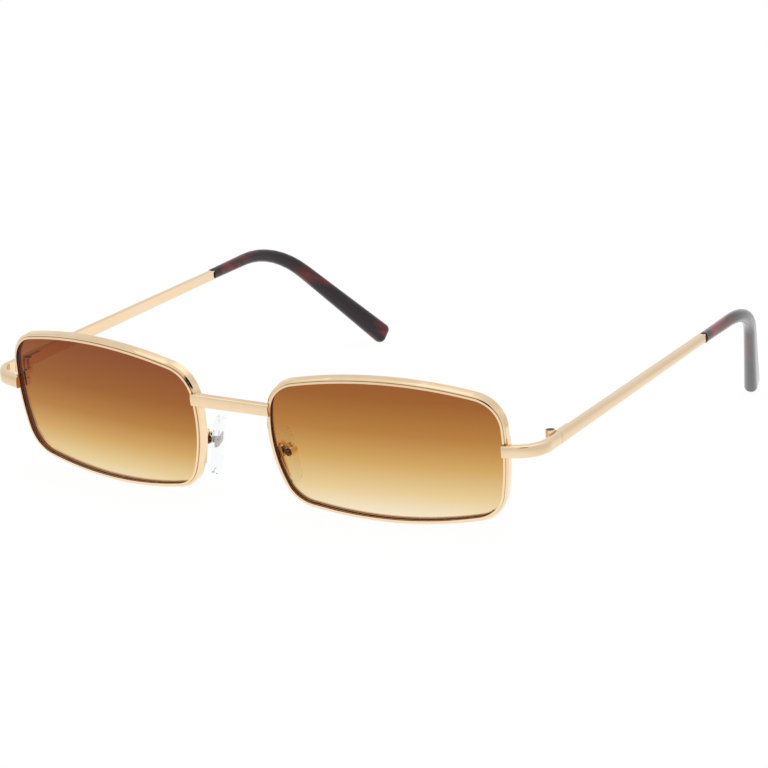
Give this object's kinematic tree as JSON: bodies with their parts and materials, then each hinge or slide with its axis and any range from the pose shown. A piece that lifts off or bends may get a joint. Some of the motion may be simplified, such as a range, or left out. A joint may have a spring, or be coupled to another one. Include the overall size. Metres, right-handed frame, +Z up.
{
  "type": "sunglasses",
  "caption": "Narrow rectangle sunglasses: thin gold metal full-rim front, gradient brown lenses, slim folding temples with tortoise tips, and clear nose pads on screwed arms.",
  "frame": {"origin": "on the table, at the middle of the footprint of the glasses standing open on the bottoms of the rims and the ends of the temple tips", "axes": "+X across the face to the wearer's left, +Y from the lenses back along the temples, +Z up from the table"},
  "size_m": [0.1342, 0.1458, 0.0323],
  "materials": {
    "gold_frame": "polished pale gold plating",
    "gold_temple": "polished pale gold plating",
    "screw_metal": "small plated screws",
    "pad_insert_metal": "bright stamped insert",
    "tinted_lens": "clear polished plastic with a brown gradient tint, darker at the top",
    "tortoise_tip": "glossy dark tortoise",
    "clear_pad": "clear soft silicone"
  },
  "bodies": {
    "front": {"bridge": "gold_frame", "left_rim": "gold_frame", "left_lens": "tinted_lens", "left_end_piece": "gold_frame", "left_hinge_front_knuckles": "gold_frame", "left_hinge_screw": "screw_metal", "left_closing_block_upper": "gold_frame", "left_closing_block_lower": "gold_frame", "left_closing_screw": "screw_metal", "left_pad_box": "gold_frame", "left_pad_screw": "screw_metal", "left_pad_arm": "gold_frame", "right_rim": "gold_frame", "right_lens": "tinted_lens", "right_end_piece": "gold_frame", "right_hinge_front_knuckles": "gold_frame", "right_hinge_screw": "screw_metal", "right_closing_block_upper": "gold_frame", "right_closing_block_lower": "gold_frame", "right_closing_screw": "screw_metal", "right_pad_box": "gold_frame", "right_pad_screw": "screw_metal", "right_pad_arm": "gold_frame"},
    "left_temple_arm": {"left_temple": "gold_temple", "left_temple_tip": "tortoise_tip", "left_hinge_temple_knuckle": "gold_temple"},
    "left_pad": {"left_nose_pad": "clear_pad", "left_pad_insert": "pad_insert_metal"},
    "right_temple_arm": {"right_temple": "gold_temple", "right_temple_tip": "tortoise_tip", "right_hinge_temple_knuckle": "gold_temple"},
    "right_pad": {"right_nose_pad": "clear_pad", "right_pad_insert": "pad_insert_metal"}
  },
  "joints": [
    {"name": "left_temple_fold", "type": "hinge", "parent": "front", "child": "left_temple_arm", "pos_m": [0.06414, -0.0516, 0.01944], "axis": [-0.0358, -0.0786, 0.9963], "range_deg": [0, 87]},
    {"name": "right_temple_fold", "type": "hinge", "parent": "front", "child": "right_temple_arm", "pos_m": [-0.06414, -0.0516, 0.01944], "axis": [-0.0358, 0.0786, -0.9963], "range_deg": [0, 79]},
    {"name": "left_pad_rock", "type": "hinge", "parent": "front", "child": "left_pad", "pos_m": [0.01014, -0.06438, 0.0128], "axis": [0.2419, 0.9483, 0.2053], "range_deg": [-8, 8]},
    {"name": "right_pad_rock", "type": "hinge", "parent": "front", "child": "right_pad", "pos_m": [-0.01014, -0.06438, 0.0128], "axis": [0.2419, -0.9483, -0.2053], "range_deg": [-8, 8]}
  ]
}
